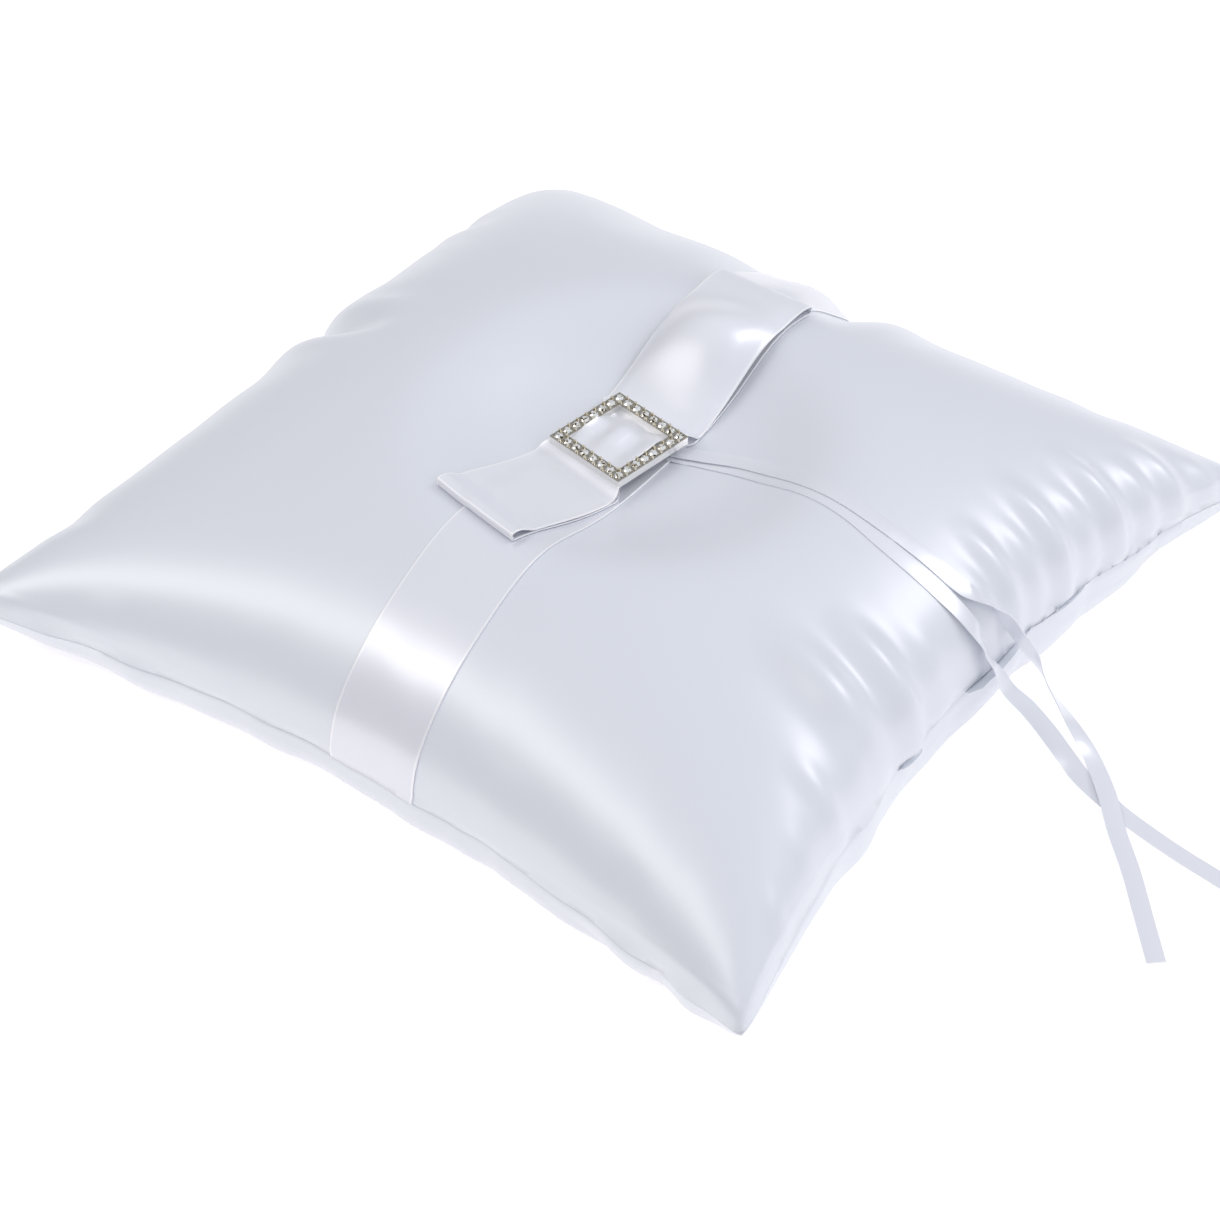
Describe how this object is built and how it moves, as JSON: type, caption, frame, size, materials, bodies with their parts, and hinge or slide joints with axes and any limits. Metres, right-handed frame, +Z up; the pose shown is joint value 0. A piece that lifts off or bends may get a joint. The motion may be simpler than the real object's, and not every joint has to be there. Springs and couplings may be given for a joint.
{
  "type": "ring bearer pillow",
  "caption": "Square stuffed satin pillow with a seam-to-seam ribbon band, a flat bow held by a stone-set slider buckle, and narrow ribbons that tie wedding rings on.",
  "frame": {"origin": "middle of the resting face, on the surface that the pillow lies on", "axes": "+X along the near edge towards the edge that the ring ribbons hang over, +Y along the ribbon band, +Z up out of the crown"},
  "size_m": [0.2651, 0.2, 0.049],
  "materials": {
    "satin": "satin",
    "wide_ribbon": "satin",
    "narrow_ribbon": "satin",
    "thread": "satin",
    "fibre": "matte",
    "buckle_metal": "polished",
    "stone": "polished"
  },
  "bodies": {
    "root": {"top_panel": "satin", "back_panel": "satin", "fibre_fill": "fibre", "seam_thread": "thread", "closing_stitches": "thread", "tack_thread": "thread", "centre_band": "wide_ribbon", "bow_ribbon": "wide_ribbon", "buckle_frame": "buckle_metal", "rhinestones": "stone", "ring_ribbon_upper": "narrow_ribbon", "ring_ribbon_lower": "narrow_ribbon"}
  },
  "joints": []
}
